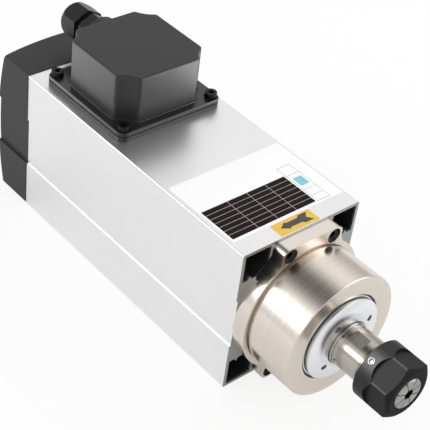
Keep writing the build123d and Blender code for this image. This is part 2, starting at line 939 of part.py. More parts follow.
def junction_box_lid():
    flange = plate(box_size, box_corner, lid_bottom, lid_step)
    flange = chamfer(flange.faces().sort_by(Axis.Z)[-1].edges(), 0.4)
    foot = dome(lid_step - 0.1, lid_step + 0.5, foot_step)
    shell = dome(lid_step - 0.1, dome_top)
    shell = fillet(shell.faces().sort_by(Axis.Z)[-1].edges(), 1.2)
    boss = rod(boss_end, dome_rear + over, gland_boss, 0, gland_z)
    body = flange + foot + shell + boss
    body -= dome(lid_bottom - over, dome_top - dome_top_wall, -dome_wall)
    body -= rod(boss_end - over, dome_rear + 2 * dome_wall, gland_thread + thread_gap, 0, gland_z)
    body -= lid_screw_holes(m4_shank + screw_gap, lid_bottom - over, lid_step + over)
    return body - lid_screw_holes(m4_head + 0.4, lid_screw_seat, lid_step + 3 * over)


def lid_screws():
    parts = []
    top = lid_screw_seat + m4_head_height
    for x, y in four_corners(lid_screw_offset, lid_screw_offset):
        screw = upright(m4_shank, box_middle + x, y, lid_screw_seat - lid_screw_length, lid_screw_seat)
        screw += upright(m4_head, box_middle + x, y, lid_screw_seat, top)
        key = Plane.XY.offset(top) * Pos(x_of(box_middle + x), y) * RegularPolygon(m4_head / 2, 6)
        parts.append(screw - extrude(key, amount=-m4_head_height * 0.55))
    return parts


def terminal_block():
    half = lead_pitch * 1.5
    top = base_top + terminal_height
    front = terminal_rear + terminal_depth
    wire = base_top + lead_height
    body = block(terminal_rear, front, -half, half, base_top, top)
    for start in (terminal_rear - over, front - terminal_step):
        end = start + terminal_step + over
        body -= block(start, end, -half - over, half + over, top - terminal_step, top + over)
    for y in (-lead_pitch, 0, lead_pitch):
        body -= upright(terminal_screw + cap_gap, terminal_middle, y, wire + 1.0, top + over)
        body -= rod(terminal_rear - over, terminal_rear + 4.0, lead_radius + cap_gap, y, wire)
        body -= rod(front - 4.0, front + over, lead_radius + 2 * cap_gap, y, wire)
    return body


def terminal_screws():
    floor = base_top + lead_height + 1.0
    parts = []
    for y in (-lead_pitch, 0, lead_pitch):
        screw = upright(terminal_screw, terminal_middle, y, floor, floor + 3.0)
        left = terminal_middle - terminal_screw - over
        right = terminal_middle + terminal_screw + over
        parts.append(screw - block(left, right, y - 0.4, y + 0.4, floor + 2.0, floor + 4.0))
    return parts


def gland_body():
    body = rod(boss_end, gland_inner_end, gland_thread, 0, gland_z)
    body += hexagon(gland_hex_end, boss_end, gland_flats, 30, 0, gland_z)
    body += rod(gland_tip, gland_hex_end, gland_thread - 0.1, 0, gland_z)
    body -= rod(gland_tip - over, gland_inner_end + over, seal_bore + 1.2, 0, gland_z)
    return body - rod(gland_tip - over, gland_hex_end, seal_outer + 0.1, 0, gland_z)


def gland_locknut():
    start = dome_rear + dome_wall + press_gap
    nut = hexagon(start, start + locknut_thickness, locknut_flats, 0, 0, gland_z)
    return nut - rod(start - over, start + locknut_thickness + over, gland_thread + thread_gap, 0, gland_z)


def gland_seal():
    shoulder = gland_tip - 1.0
    front = gland_hex_end - 0.1
    return turned([
        (front, seal_bore),
        (front, seal_outer),
        (shoulder, seal_outer),
        (shoulder - seal_nose_length, seal_outer - seal_nose),
        (shoulder - seal_nose_length, seal_bore),
    ], gland_z)


# the gland's hexagon cap, whose outer end is domed down to the cable's mouth
def gland_nut():
    body = hexagon(gland_nut_end - over, gland_nut_start, gland_flats, 30, 0, gland_z)
    dome_start = gland_nut_start - gland_straight
    dome_length = gland_dome_end - gland_straight
    tip_radius = gland_nut_mouth + 2.0
    outline = [
        Polyline(
            (x_of(dome_start), gland_nut_rim),
            (x_of(gland_nut_start - 0.5), gland_nut_rim),
            (x_of(gland_nut_start), gland_nut_rim - 0.4),
            (x_of(gland_nut_start), 0),
            (x_of(gland_nut_end), 0),
            (x_of(gland_nut_end), gland_nut_mouth),
            (x_of(gland_nut_start - gland_dome_end), tip_radius),
        ),
        ThreePointArc(
            (x_of(gland_nut_start - gland_dome_end), tip_radius),
            (x_of(dome_start - dome_length * 0.62), gland_nut_rim - (gland_nut_rim - tip_radius) * 0.32),
            (x_of(dome_start), gland_nut_rim),
        ),
    ]
    body &= Pos(0, 0, gland_z) * revolve(make_face(outline), Axis.X)
    thread = gland_thread - 0.1 + running_gap
    mouth = seal_outer - seal_nose + 0.1
    body -= turned([
        (gland_nut_start + over, 0),
        (gland_nut_start + over, thread),
        (gland_tip - 1.2, thread),
        (gland_tip - 2.9, mouth),
        (gland_nut_end - over, mouth),
        (gland_nut_end - over, 0),
    ], gland_z)
    return body


# the cover as a full solid: a box whose rear end is cut by a large sphere
def cover_solid(shrink, mouth):
    half_y = half_width + cover_grow - shrink
    half_z = top_face + cover_grow - shrink
    recess = half_width + cover_grow - cover_recess_depth - shrink
    recess_z = side_recess_height / 2 + shrink
    body = block(cover_apex - over, mouth, -half_y, half_y, -half_z, half_z)
    body &= Pos(x_of(cover_apex) + cover_sphere, 0, 0) * Sphere(cover_sphere - shrink)
    for side in (-1, 1):
        cut_y = sorted((side * recess, side * (half_y + over)))
        body -= block(cover_apex - 2 * over, mouth + over, *cut_y, -recess_z, recess_z)
    return body


def rear_cover():
    body = cover_solid(0, housing_rear)
    long_edges = body.edges().filter_by(GeomType.LINE).filter_by(Axis.X)
    corners = [edge for edge in long_edges if abs(edge.center().Z) > side_recess_height]
    body = fillet(corners, cover_corner)
    void = cover_solid(cover_wall, housing_rear + over)
    for y, z in four_corners(cover_screw_y, cover_screw_z):
        void -= rod(cover_apex - over, rear_plate_back - 0.5, cover_column, y, z)
        void -= rod(cover_apex - over, housing_rear, cover_column_front, y, z)
    body -= void
    for y, z in four_corners(cover_screw_y, cover_screw_z):
        body -= rod(cover_apex - over, housing_rear + over, m4_shank + screw_gap, y, z)
        body -= rod(cover_apex - over, cover_seat, m4_head + 0.4, y, z)
    rows = int(grille_radius // grille_pitch)
    for i in range(-rows, rows + 1):
        z = i * grille_pitch
        slot = SlotOverall(2 * sqrt(grille_radius ** 2 - z ** 2) + 4.0, grille_slot)
        face = Plane.YZ.offset(x_of(cover_apex - over)) * Pos(0, z) * slot
        body -= extrude(face, amount=4 * cover_wall)
    return body


def rear_cover_screws():
    return [cap_screw(cover_seat, cover_screw_length, m4_shank, m4_head, m4_head_height, -1, y, z)
            for y, z in four_corners(cover_screw_y, cover_screw_z)]


def cooling_fan():
    body = rod(fan_rear, fan_front, fan_hub)
    body += rod(fan_front - fan_disc, fan_front, fan_radius)
    half = fan_blade / 2
    blade = block(fan_rear, fan_front - over, -half, half, fan_hub - over, fan_radius - 0.5)
    for piece in around(blade, fan_blades):
        body += piece
    return body - rod(fan_rear - over, fan_front + over, fan_seat + press_gap)


def fan_screw_tip():
    return shaft_rear + 12.0


def fan_screw():
    washer_rear = fan_rear - washer_thickness
    head_rear = washer_rear - fan_screw_head_height
    body = rod(washer_rear, fan_screw_tip(), m5_shank)
    body += rod(washer_rear, fan_rear, washer_radius)
    body += rod(head_rear, washer_rear, m5_head)
    return body - hexagon(head_rear - over, head_rear + 2.2, m5_head * 0.9)


def save(name, shape):
    if isinstance(shape, list):
        shape = Compound(children=[Part() + s for s in shape])
    export_step(shape, "parts/" + name + ".step")


front_shoulder = front_ball * ring_shoulder
rear_shoulder = rear_ball * ring_shoulder

save("housing", housing())
save("front_end_shield", front_end_shield())
save("shield_screws", shield_screws())
save("bearing_cap", bearing_cap())
save("shaft_collar", shaft_collar())
save("shaft", shaft())
save("rotor_core", rotor_core())
save("rotor_end_rings", rotor_end_rings())
save("stator_core", stator_core())
save("stator_windings", stator_windings())
save("motor_leads", motor_leads())
save("front_bearing_outer_rings", front_ring_pair(front_bearing_outer, front_circle + front_shoulder))
save("front_bearing_inner_rings", front_ring_pair(front_circle - front_shoulder, shaft_radius + press_gap))
save("front_bearing_balls", front_balls())
save("rear_bearing_outer_ring", rear_ring(rear_bearing_outer, rear_circle + rear_shoulder))
save("rear_bearing_inner_ring", rear_ring(rear_circle - rear_shoulder, rear_bearing_bore + press_gap))
save("rear_bearing_balls", rear_balls())
save("preload_spring", preload_spring())
save("rear_end_shield", rear_end_shield())
save("rear_shield_screws", rear_shield_screws())
save("cooling_fan", cooling_fan())
save("fan_screw", fan_screw())
save("rear_cover", rear_cover())
save("rear_cover_screws", rear_cover_screws())
save("collet", collet())
save("collet_nut", collet_nut())
save("junction_box_base", junction_box_base())
save("base_screws", base_screws())
save("earth_screw", earth_screw())
save("lid_gasket", lid_gasket())
save("junction_box_lid", junction_box_lid())
save("lid_screws", lid_screws())
save("terminal_block", terminal_block())
save("terminal_screws", terminal_screws())
save("gland_body", gland_body())
save("gland_locknut", gland_locknut())
save("gland_seal", gland_seal())
save("gland_nut", gland_nut())
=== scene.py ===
import math

import bmesh
import bpy
from mathutils import Matrix, Vector


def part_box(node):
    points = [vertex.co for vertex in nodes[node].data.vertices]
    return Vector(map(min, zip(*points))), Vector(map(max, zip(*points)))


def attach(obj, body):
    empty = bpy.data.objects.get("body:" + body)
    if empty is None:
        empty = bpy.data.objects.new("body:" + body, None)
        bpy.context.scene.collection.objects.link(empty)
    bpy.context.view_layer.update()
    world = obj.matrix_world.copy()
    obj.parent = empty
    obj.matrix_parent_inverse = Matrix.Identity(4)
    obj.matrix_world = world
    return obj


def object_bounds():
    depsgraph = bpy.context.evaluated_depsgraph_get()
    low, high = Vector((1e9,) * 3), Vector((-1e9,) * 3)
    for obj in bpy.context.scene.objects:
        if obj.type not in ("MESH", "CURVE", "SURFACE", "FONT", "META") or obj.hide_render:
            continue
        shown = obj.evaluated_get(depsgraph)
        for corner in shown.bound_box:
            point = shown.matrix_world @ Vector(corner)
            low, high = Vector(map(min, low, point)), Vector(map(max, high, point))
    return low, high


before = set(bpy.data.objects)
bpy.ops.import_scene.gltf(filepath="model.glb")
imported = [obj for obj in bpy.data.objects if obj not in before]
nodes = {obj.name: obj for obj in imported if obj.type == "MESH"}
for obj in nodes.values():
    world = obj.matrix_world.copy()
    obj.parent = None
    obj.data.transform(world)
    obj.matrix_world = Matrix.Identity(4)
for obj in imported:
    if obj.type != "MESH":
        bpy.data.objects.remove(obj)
for leftover in ("Cube", "Camera", "Light"):
    if leftover in bpy.data.objects:
        bpy.data.objects.remove(bpy.data.objects[leftover], do_unlink=True)
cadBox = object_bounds()
scene = bpy.context.scene
mm = 0.001
print("frame loaded:", len(nodes), "parts")

# camera at the photograph's viewing angle: its place in metres, and where the picture's sides point
photoView = {
    "place": (0.23919, -0.39476, 0.45011),
    "right": (0.642531, 0.758329, 0.109957),
    "down": (0.531595, -0.337796, -0.776725),
    "forward": (-0.55187, 0.557522, -0.620168),
    "lens": 106.472,
    "sensor": 36,
    "clip": (0.01, 50),
}


def makeCamera(settings):
    data = bpy.data.cameras.new("photoView")
    data.lens = settings["lens"]
    data.sensor_width = settings["sensor"]
    data.clip_start, data.clip_end = settings["clip"]
    camera = bpy.data.objects.new("photoView", data)
    right, down, ahead, place = (Vector(settings[k]) for k in ("right", "down", "forward", "place"))
    turned = Matrix((right, -down, -ahead)).transposed()  # a camera looks along its own -Z
    camera.matrix_world = Matrix.Translation(place) @ turned.to_4x4()
    scene.collection.objects.link(camera)
    scene.camera = camera


makeCamera(photoView)
scene.view_settings.view_transform = "Standard"
print("camera set")


def fromHex(code):
    channels = [int(code[i:i + 2], 16) / 255 for i in (1, 3, 5)]
    linear = [c / 12.92 if c <= 0.04045 else ((c + 0.055) / 1.055) ** 2.4 for c in channels]
    return (*linear, 1.0)


def addNode(tree, kind, settings=None, links=None):
    node = tree.nodes.new(kind)
    for name, value in (settings or {}).items():
        if isinstance(name, int) or name in node.inputs:
            node.inputs[name].default_value = value
        else:
            setattr(node, name, value)
    for name, (source, socket) in (links or {}).items():
        tree.links.new(source.outputs[socket], node.inputs[name])
    return node


def newFinish(name, **sockets):
    material = bpy.data.materials.new(name)
    material.use_nodes = True
    tree = material.node_tree
    tree.nodes.clear()
    shader = addNode(tree, "ShaderNodeBsdfPrincipled", sockets)
    addNode(tree, "ShaderNodeOutputMaterial", {}, {"Surface": (shader, "BSDF")})
    place = addNode(tree, "ShaderNodeTexCoord")
    return material, tree, shader, place


def latheCoords(tree, place):
    # x and the distance from the spindle's axis, so that a pattern runs round the piece
    parts = addNode(tree, "ShaderNodeSeparateXYZ", {}, {"Vector": (place, "Object")})
    across = addNode(tree, "ShaderNodeCombineXYZ", {}, {"Y": (parts, "Y"), "Z": (parts, "Z")})
    away = addNode(tree, "ShaderNodeVectorMath", {"operation": "LENGTH"}, {0: (across, "Vector")})
    return addNode(tree, "ShaderNodeCombineXYZ", {}, {"X": (parts, "X"), "Y": (away, "Value")})


patternRange = (0.3, 0.7)  # nearly all of a noise pattern lies between these values


def vary(tree, shader, pattern, low, high):
    # maps a pattern onto a range of roughness
    start, end = patternRange
    spread = addNode(tree, "ShaderNodeMapRange",
                     {"From Min": start, "From Max": end, "To Min": low, "To Max": high},
                     {"Value": (pattern, "Fac")})
    tree.links.new(spread.outputs["Result"], shader.inputs["Roughness"])
    return spread


def tint(tree, shader, pattern, dark, light):
    # colours a pattern between two close tones
    ramp = addNode(tree, "ShaderNodeValToRGB", {}, {"Fac": (pattern, "Fac")})
    for stop, position, tone in zip(ramp.color_ramp.elements, patternRange, (dark, light)):
        stop.position = position
        stop.color = fromHex(tone)
    tree.links.new(ramp.outputs["Color"], shader.inputs["Base Color"])
    return ramp


def relief(tree, shader, pattern, depth, strength, edge=0.0):
    # depth of the surface pattern and width of the softened edges, both in mm
    bump = addNode(tree, "ShaderNodeBump", {"Strength": strength, "Distance": depth * mm},
                   {"Height": (pattern, "Fac")})
    if edge:
        soft = addNode(tree, "ShaderNodeBevel", {"samples": 6, "Radius": edge * mm})
        tree.links.new(soft.outputs["Normal"], bump.inputs["Normal"])
    tree.links.new(bump.outputs["Normal"], shader.inputs["Normal"])


def within(tree, source, socket, low, high):
    # 1 where a coordinate lies between two limits in metres, 0 elsewhere
    middle = addNode(tree, "ShaderNodeMath", {"operation": "SUBTRACT", 1: (low + high) / 2},
                     {0: (source, socket)})
    away = addNode(tree, "ShaderNodeMath", {"operation": "ABSOLUTE"}, {0: (middle, 0)})
    return addNode(tree, "ShaderNodeMath", {"operation": "LESS_THAN", 1: (high - low) / 2}, {0: (away, 0)})


# A noise texture whose Scale is 1 / size draws grains of that size. Real lathe lines and the grain of a mould
# are too fine to show in the render, so they are drawn 0.4 to 1.2 mm wide.

# housing, in mm: depth of the grey sawn ends, where the air channels start behind them, and the channels'
# outer walls across and up; then the darker grey painted inside the channels as painted shade
housingZones = {"sawn": 0.2, "sawnGrey": "#9fa0a1", "channelStart": 1.2, "sideWall": 1.8, "topWall": 1.5,
                "channelShadeGrey": "#8e8e90"}


def anodisedAluminium(low, high):
    # extruded profile, etched and clear anodised: pale satin metal with faint die lines along its length,
    # grey on its sawn ends; inside the air channels it is coloured darker grey, painted shade
    material, tree, shader, place = newFinish("anodisedAluminium", Metallic=1.0, Roughness=0.36)
    # the die lines are 50 times as long as they are wide
    drawn = addNode(tree, "ShaderNodeMapping", {"Scale": (1 / 50, 1, 1)}, {"Vector": (place, "Object")})
    lines = addNode(tree, "ShaderNodeTexNoise", {"Scale": 1 / (0.9 * mm), "Detail": 4.0},
                    {"Vector": (drawn, "Vector")})
    cloud = addNode(tree, "ShaderNodeTexNoise", {"Scale": 1 / (30 * mm), "Detail": 2.0},
                    {"Vector": (place, "Object")})
    outside = tint(tree, shader, cloud, "#ececec", "#eeeeee")
    parts = addNode(tree, "ShaderNodeSeparateXYZ", {}, {"Vector": (place, "Object")})
    start = housingZones["channelStart"] * mm
    inside = within(tree, parts, "X", low.x + start, high.x - start)
    walls = (("Y", high.y - housingZones["sideWall"] * mm), ("Z", high.z - housingZones["topWall"] * mm))
    for axis, wall in walls:
        side = within(tree, parts, axis, -wall, wall)
        inside = addNode(tree, "ShaderNodeMath", {"operation": "MULTIPLY"}, {0: (inside, 0), 1: (side, 0)})
    sawn = housingZones["sawn"] * mm
    skin = within(tree, parts, "X", low.x + sawn, high.x - sawn)
    metal = addNode(tree, "ShaderNodeMix", {"data_type": "RGBA", 6: fromHex(housingZones["sawnGrey"])},
                    {0: (skin, 0), 7: (outside, "Color")})
    # painted shade: the inside of the air channels gets a darker grey colour
    colour = addNode(tree, "ShaderNodeMix", {"data_type": "RGBA", 7: fromHex(housingZones["channelShadeGrey"])},
                     {0: (inside, 0), 6: (metal, 2)})
    tree.links.new(colour.outputs[2], shader.inputs["Base Color"])
    vary(tree, shader, lines, 0.34, 0.38)
    relief(tree, shader, lines, 0.0008, 0.3)
    return material


def nickelPlate():
    # turned steel with a thin satin nickel plate: warm champagne metal, fine lathe lines round the axis
    material, tree, shader, place = newFinish("nickelPlate", Metallic=1.0, Roughness=0.22)
    lathe = latheCoords(tree, place)
    lines = addNode(tree, "ShaderNodeTexNoise", {"Scale": 1 / (0.5 * mm), "Detail": 3.0},
                    {"Vector": (lathe, "Vector")})
    tint(tree, shader, lines, "#d9d0c6", "#e0d8cf")
    vary(tree, shader, lines, 0.2, 0.25)
    relief(tree, shader, lines, 0.0006, 0.3)
    return material


# bearing cap: painted shadow in the joint at its rim starts and is full at these distances inside the cap's
# rim, in mm, and its colour
capJoint = {"start": 1.15, "full": 0.85, "jointShade": "#2e261f"}


def turnedAluminium(rim):
    # faced on a lathe and left bare: bright cool metal with rings, and a dark line of painted shadow in the
    # joint at its rim
    material, tree, shader, place = newFinish("turnedAluminium", Metallic=1.0, Roughness=0.3, Anisotropic=0.6)
    tangent = addNode(tree, "ShaderNodeTangent", {"direction_type": "RADIAL", "axis": "X"})
    tree.links.new(tangent.outputs["Tangent"], shader.inputs["Tangent"])
    lathe = latheCoords(tree, place)
    rings = addNode(tree, "ShaderNodeTexNoise", {"Scale": 1 / (0.45 * mm), "Detail": 3.0},
                    {"Vector": (lathe, "Vector")})
    bare = tint(tree, shader, rings, "#e4e6e9", "#f1f2f4")
    parts = addNode(tree, "ShaderNodeSeparateXYZ", {}, {"Vector": (lathe, "Vector")})
    # painted shadow: the cap's colour darkens to a brown-black line near its rim, where the joint is in shade
    limits = {"From Min": rim - capJoint["start"] * mm, "From Max": rim - capJoint["full"] * mm}
    jointShade = addNode(tree, "ShaderNodeMapRange", limits, {"Value": (parts, "Y")})
    colour = addNode(tree, "ShaderNodeMix", {"data_type": "RGBA", 7: fromHex(capJoint["jointShade"])},
                     {0: (jointShade, "Result"), 6: (bare, "Color")})
    tree.links.new(colour.outputs[2], shader.inputs["Base Color"])
    vary(tree, shader, rings, 0.26, 0.34)
    relief(tree, shader, rings, 0.001, 0.4)
    return material


def groundSteel():
    # cylindrically ground tool steel: grey metal with close rings round the axis
    material, tree, shader, place = newFinish("groundSteel", Metallic=1.0, Roughness=0.16)
    lathe = latheCoords(tree, place)
    rings = addNode(tree, "ShaderNodeTexNoise", {"Scale": 1 / (0.5 * mm), "Detail": 3.0},
                    {"Vector": (lathe, "Vector")})
    tint(tree, shader, rings, "#a49e97", "#c0bbb4")
    vary(tree, shader, rings, 0.12, 0.2)
    relief(tree, shader, rings, 0.001, 0.4)
    return material


def honedSteel():
    # hardened steel, faced and honed: neutral grey with the rings of the facing cut
    material, tree, shader, place = newFinish("honedSteel", Metallic=1.0, Roughness=0.34, Anisotropic=0.8)
    tangent = addNode(tree, "ShaderNodeTangent", {"direction_type": "RADIAL", "axis": "X"})
    tree.links.new(tangent.outputs["Tangent"], shader.inputs["Tangent"])
    lathe = latheCoords(tree, place)
    rings = addNode(tree, "ShaderNodeTexNoise", {"Scale": 1 / (0.4 * mm), "Detail": 2.0},
                    {"Vector": (lathe, "Vector")})
    tint(tree, shader, rings, "#7f7f7e", "#b4b4b2")
    vary(tree, shader, rings, 0.3, 0.4)
    relief(tree, shader, rings, 0.002, 0.5, edge=0.2)
    return material


# nut: the distance from the axis, in mm, within which a surface is a milled flat and past which it is turned
nutSurfaces = {"milled": 16.7, "turned": 17.1, "milledRoughness": 0.8}


def blackOxide():
    # chemically blacked steel, lightly oiled: near-black satin where turned, duller on the nut's milled flats
    material, tree, shader, place = newFinish("blackOxide", Roughness=0.45)
    shader.inputs["Specular IOR Level"].default_value = 0.25
    grain = addNode(tree, "ShaderNodeTexNoise", {"Scale": 1 / (0.6 * mm), "Detail": 3.0},
                    {"Vector": (place, "Object")})
    tint(tree, shader, grain, "#0d0d0d", "#121212")
    turned = vary(tree, shader, grain, 0.42, 0.48)
    lathe = latheCoords(tree, place)
    parts = addNode(tree, "ShaderNodeSeparateXYZ", {}, {"Vector": (lathe, "Vector")})
    limits = {"From Min": nutSurfaces["milled"] * mm, "From Max": nutSurfaces["turned"] * mm}
    milled = addNode(tree, "ShaderNodeMapRange", {**limits, "To Min": nutSurfaces["milledRoughness"]},
                     {"Value": (parts, "Y"), "To Max": (turned, "Result")})
    tree.links.new(milled.outputs["Result"], shader.inputs["Roughness"])
    relief(tree, shader, grain, 0.002, 0.3, edge=0.35)
    return material


# box: height of its flange over the seam and width of the change of gloss above it, in mm
boxSurfaces = {"flange": 2.3, "blend": 0.6, "flangeRoughness": 0.24, "hoodRoughness": 0.5}


def boxPlastic(seam):
    # moulded box: glossy on its base and flange, fine spark-eroded grain on the hood above
    material, tree, shader, place = newFinish("boxPlastic", Roughness=boxSurfaces["hoodRoughness"], IOR=1.5)
    grain = addNode(tree, "ShaderNodeTexNoise", {"Scale": 1 / (0.6 * mm), "Detail": 3.0},
                    {"Vector": (place, "Object")})
    tint(tree, shader, grain, "#1f1f1f", "#242424")
    parts = addNode(tree, "ShaderNodeSeparateXYZ", {}, {"Vector": (place, "Object")})
    flangeTop = seam + boxSurfaces["flange"] * mm
    limits = {"From Min": flangeTop, "From Max": flangeTop + boxSurfaces["blend"] * mm}
    gloss = {"To Min": boxSurfaces["flangeRoughness"], "To Max": boxSurfaces["hoodRoughness"]}
    hood = addNode(tree, "ShaderNodeMapRange", {**limits, **gloss}, {"Value": (parts, "Z")})
    tree.links.new(hood.outputs["Result"], shader.inputs["Roughness"])
    relief(tree, shader, grain, 0.002, 0.35, edge=0.5)
    return material


def mouldedPlastic(name, dark, light, rough, grainSize, depth):
    # moulded plastic or rubber with the fine grain of its tool: the grain's width and depth are in mm
    material, tree, shader, place = newFinish(name, Roughness=rough, IOR=1.5)
    grain = addNode(tree, "ShaderNodeTexNoise", {"Scale": 1 / (grainSize * mm), "Detail": 3.0},
                    {"Vector": (place, "Object")})
    tint(tree, shader, grain, dark, light)
    vary(tree, shader, grain, rough - 0.04, rough + 0.05)
    relief(tree, shader, grain, depth, 0.35, edge=0.5)
    return material


def plainMetal(name, dark, light, rough, grainSize, depth):
    # cast, rolled or plated metal with one fine grain all over: the grain's width and depth are in mm
    material, tree, shader, place = newFinish(name, Metallic=1.0, Roughness=rough)
    grain = addNode(tree, "ShaderNodeTexNoise", {"Scale": 1 / (grainSize * mm), "Detail": 3.0},
                    {"Vector": (place, "Object")})
    tint(tree, shader, grain, dark, light)
    vary(tree, shader, grain, rough - 0.05, rough + 0.06)
    relief(tree, shader, grain, depth, 0.4)
    return material


waveBands = 20 / math.tau  # a wave texture at Scale 1 draws this many bands in a metre


def laminatedSteel():
    # a stack of 0.5 mm punched sheets: thin dark seams across the axis, drawn 1.2 mm apart so that they show
    material, tree, shader, place = newFinish("laminatedSteel", Metallic=1.0, Roughness=0.42)
    sheets = addNode(tree, "ShaderNodeTexWave", {"Scale": 1 / (waveBands * 1.2 * mm), "Distortion": 0.2},
                     {"Vector": (place, "Object")})
    tint(tree, shader, sheets, "#5c5f63", "#8d9095")
    relief(tree, shader, sheets, 0.02, 0.5)
    return material


def enamelledCopper():
    # varnished winding wire, 0.8 mm thick: red-brown gloss with the wires' rounds, drawn twice as wide; the
    # colour is darker in the hollows between the wires and lighter on their crowns, painted shade
    material, tree, shader, place = newFinish("enamelledCopper", Metallic=0.85, Roughness=0.3)
    shader.inputs["Coat Weight"].default_value = 0.6
    wires = addNode(tree, "ShaderNodeTexWave", {"Scale": 1 / (waveBands * 1.6 * mm), "Distortion": 1.5},
                    {"Vector": (place, "Object")})
    # painted shade: the tint follows the relief, dark in the hollows between the wires and light on their
    # crowns
    tint(tree, shader, wires, "#7d3d1f", "#c4713d")
    relief(tree, shader, wires, 0.15, 0.7)
    return material


finishes = {
    "anodised_aluminium": anodisedAluminium(*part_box("housing")),
    "nickel_plated_steel": nickelPlate(),
    "turned_aluminium": turnedAluminium(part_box("bearing_cap")[1].y),
    "ground_steel": groundSteel(),
    "black_oxide_steel": blackOxide(),
    "black_cover_plastic": mouldedPlastic("coverNylon", "#262626", "#2c2c2c", 0.6, 0.8, 0.008),
    "black_box_plastic": boxPlastic(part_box("lid_gasket")[1].z),
    "black_gland_nylon": mouldedPlastic("glandNylon", "#101011", "#161617", 0.34, 0.7, 0.004),
    "fan_plastic": mouldedPlastic("fanNylon", "#1f2022", "#292a2c", 0.5, 0.7, 0.015),
    "terminal_plastic": mouldedPlastic("terminalNylon", "#d8d5c8", "#e4e1d5", 0.5, 0.7, 0.01),
    "lead_insulation": mouldedPlastic("leadSleeve", "#8c1a16", "#a3231d", 0.45, 1.2, 0.02),
    "black_rubber": mouldedPlastic("sealRubber", "#111112", "#191919", 0.7, 0.5, 0.02),
    "cast_aluminium": plainMetal("castAluminium", "#a9abad", "#bfc1c3", 0.5, 1.2, 0.05),
    "bearing_steel": plainMetal("bearingSteel", "#c9cbcd", "#d8dadb", 0.16, 0.6, 0.001),
    "spring_steel": plainMetal("springSteel", "#8b8d91", "#a2a4a8", 0.3, 0.6, 0.004),
    "zinc_steel": plainMetal("zincPlate", "#b9bdc0", "#cfd3d5", 0.32, 0.7, 0.004),
    "electrical_steel": laminatedSteel(),
    "copper_windings": enamelledCopper(),
}
for name, part in nodes.items():
    finish = part.material_slots[0].material.name.split(".")[0]
    part.material_slots[0].material = finishes[finish]
nodes["collet"].material_slots[0].material = honedSteel()
print("finishes set:", len(finishes))

# labels on the housing's top face, in mm: x from the housing's front face, y across
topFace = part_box("housing")[1].z / mm
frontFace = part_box("housing")[1].x / mm


def fromFront(pair):
    return tuple(v + frontFace for v in pair)


def printedFilm(name, dark, light, gloss=0.5):
    # printed polyester film, satin, with a slight fibre in the ink
    material, tree, shader, place = newFinish(name, Roughness=0.42, IOR=1.5)
    shader.inputs["Specular IOR Level"].default_value = gloss
    grain = addNode(tree, "ShaderNodeTexNoise", {"Scale": 1 / (1.5 * mm), "Detail": 3.0},
                    {"Vector": (place, "Object")})
    tint(tree, shader, grain, dark, light)
    vary(tree, shader, grain, 0.38, 0.48)
    return material, tree, shader, place


def ruled(film, columns, rows, width, ink):
    # thin printed lines at these y (columns) and x (rows) values in mm
    material, tree, shader, place = film
    parts = addNode(tree, "ShaderNodeSeparateXYZ", {}, {"Vector": (place, "Object")})
    total = None
    for axis, values in (("Y", columns), ("X", rows)):
        for value in values:
            line = addNode(tree, "ShaderNodeMath", {"operation": "COMPARE", 1: value * mm, 2: width / 2 * mm},
                           {0: (parts, axis)})
            if total:
                line = addNode(tree, "ShaderNodeMath", {"operation": "MAXIMUM"},
                               {0: (total, 0), 1: (line, 0)})
            total = line
    paper = shader.inputs["Base Color"].links[0].from_node
    mix = addNode(tree, "ShaderNodeMix", {"data_type": "RGBA", 7: fromHex(ink)},
                  {0: (total, 0), 6: (paper, "Color")})
    tree.links.new(mix.outputs[2], shader.inputs["Base Color"])
    return material


def finishPiece(name, bm, material, body):
    bmesh.ops.recalc_face_normals(bm, faces=bm.faces)
    mesh = bpy.data.meshes.new(name)
    bm.to_mesh(mesh)
    bm.free()
    mesh.materials.append(material)
    piece = bpy.data.objects.new(name, mesh)
    scene.collection.objects.link(piece)
    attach(piece, body)


def flatSheet(name, xs, ys, base, thick, corner, material):
    bm = bmesh.new()
    bmesh.ops.create_cube(bm, size=1.0)
    size = Vector((xs[1] - xs[0], ys[1] - ys[0], thick)) * mm
    middle = Vector(((xs[0] + xs[1]) / 2, (ys[0] + ys[1]) / 2, base + thick / 2)) * mm
    bmesh.ops.scale(bm, vec=size, verts=bm.verts)
    bmesh.ops.translate(bm, vec=middle, verts=bm.verts)
    upright = [e for e in bm.edges if abs(e.verts[0].co.z - e.verts[1].co.z) > thick / 2 * mm]
    bmesh.ops.bevel(bm, geom=upright, offset=corner * mm, segments=4, profile=0.5, affect="EDGES",
                    material=-1)
    finishPiece(name, bm, material, "motor_body")


inkLayer = {"thick": 0.04, "corner": 0.2}
whiteLabel = {"xs": (-63.2, -10.9), "ys": (-38.4, 39.4), "thick": 0.1, "corner": 0.6}
whiteFilm = printedFilm("whiteFilm", "#f8f8f8", "#fcfcfc")[0]
flatSheet("type_label", fromFront(whiteLabel["xs"]), whiteLabel["ys"], topFace, whiteLabel["thick"],
          whiteLabel["corner"], whiteFilm)
labelTop = topFace + whiteLabel["thick"]

# the dark table: equal rows along x, and columns that end at these shares of its width
dataTable = {"xs": (-38.1, -12.9), "ys": (-37.0, 21.0), "rows": 7, "columns": (0.30, 0.535, 0.763),
             "line": 0.3, "lineInk": "#b4aeab", "gloss": 0.08}
tableXs = fromFront(dataTable["xs"])
tableYs = dataTable["ys"]
rowStep = (tableXs[1] - tableXs[0]) / dataTable["rows"]
rowLines = [tableXs[0] + rowStep * i for i in range(1, dataTable["rows"])]
columnLines = [tableYs[0] + (tableYs[1] - tableYs[0]) * share for share in dataTable["columns"]]
blackFilm = printedFilm("blackTableInk", "#170d0c", "#1e1311", dataTable["gloss"])
tableInk = ruled(blackFilm, columnLines, rowLines, dataTable["line"], dataTable["lineInk"])
flatSheet("type_table", tableXs, tableYs, labelTop, inkLayer["thick"], inkLayer["corner"], tableInk)

